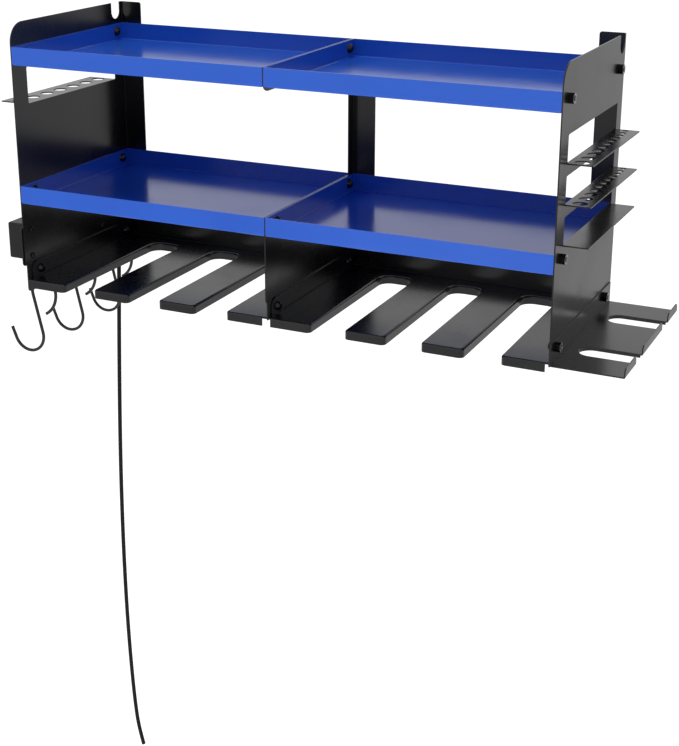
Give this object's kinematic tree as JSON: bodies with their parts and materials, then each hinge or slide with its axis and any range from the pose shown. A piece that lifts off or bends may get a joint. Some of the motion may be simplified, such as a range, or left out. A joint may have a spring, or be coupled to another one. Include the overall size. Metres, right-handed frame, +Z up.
{
  "type": "wall-mounted power tool organizer",
  "caption": "Wall-mounted steel organizer for cordless tools: lipped trays over slotted tool shelves, racks folded out of the sides, a slotted side tray, an outlet strip and hanging S-hooks.",
  "frame": {"origin": "centre of the four outer wall screw holes, in the wall plane", "axes": "+X to the right seen from the front, +Y into the wall, +Z up; the organizer stands out to -Y"},
  "size_m": [0.8368, 0.2504, 1.1902],
  "materials": {
    "black_powder_coat": "glossy powder coat",
    "blue_powder_coat": "glossy powder coat",
    "blackened_steel": "glossy black plating",
    "grey_housing": "fine satin texture",
    "black_plastic": "satin",
    "contact_brass": "plain",
    "rocker_plastic": "gloss",
    "coated_wire": "glossy powder coat",
    "cord_rubber": "satin"
  },
  "bodies": {
    "frame": {"left_side_panel": "black_powder_coat", "right_side_panel": "black_powder_coat", "centre_panel": "black_powder_coat", "upper_left_tray": "blue_powder_coat", "upper_right_tray": "blue_powder_coat", "lower_left_tray": "blue_powder_coat", "lower_right_tray": "blue_powder_coat", "left_tool_shelf": "black_powder_coat", "right_tool_shelf": "black_powder_coat", "right_side_tray": "black_powder_coat", "tray_bolts": "blackened_steel", "tray_nuts": "blackened_steel", "shelf_bolts": "blackened_steel", "shelf_nuts": "blackened_steel", "strip_back_plate": "black_powder_coat", "strip_housing": "grey_housing", "outlet_inserts": "black_plastic", "bus_bars": "contact_brass", "switch_bezel": "black_plastic", "strip_screws": "blackened_steel", "strip_nuts": "blackened_steel", "cord_strain_relief": "cord_rubber", "power_cord": "cord_rubber"},
    "rocker": {"rocker_switch": "rocker_plastic"},
    "hook_front": {"s_hook_front": "coated_wire"},
    "hook_middle": {"s_hook_middle": "coated_wire"},
    "hook_rear": {"s_hook_rear": "coated_wire"}
  },
  "joints": [
    {"name": "rocker_tilt", "type": "hinge", "parent": "frame", "child": "rocker", "pos_m": [-0.3895, -0.204, -0.107], "axis": [0, 0, -1], "range_deg": [0, 20]},
    {"name": "hook_front_swing", "type": "hinge", "parent": "frame", "child": "hook_front", "pos_m": [-0.34925, -0.218, -0.15707], "axis": [1, 0, 0], "range_deg": [-60, 20]},
    {"name": "hook_middle_swing", "type": "hinge", "parent": "frame", "child": "hook_middle", "pos_m": [-0.34925, -0.1275, -0.15707], "axis": [1, 0, 0], "range_deg": [-20, 20]},
    {"name": "hook_rear_swing", "type": "hinge", "parent": "frame", "child": "hook_rear", "pos_m": [-0.34925, -0.037, -0.15707], "axis": [1, 0, 0], "range_deg": [-20, 10]}
  ]
}
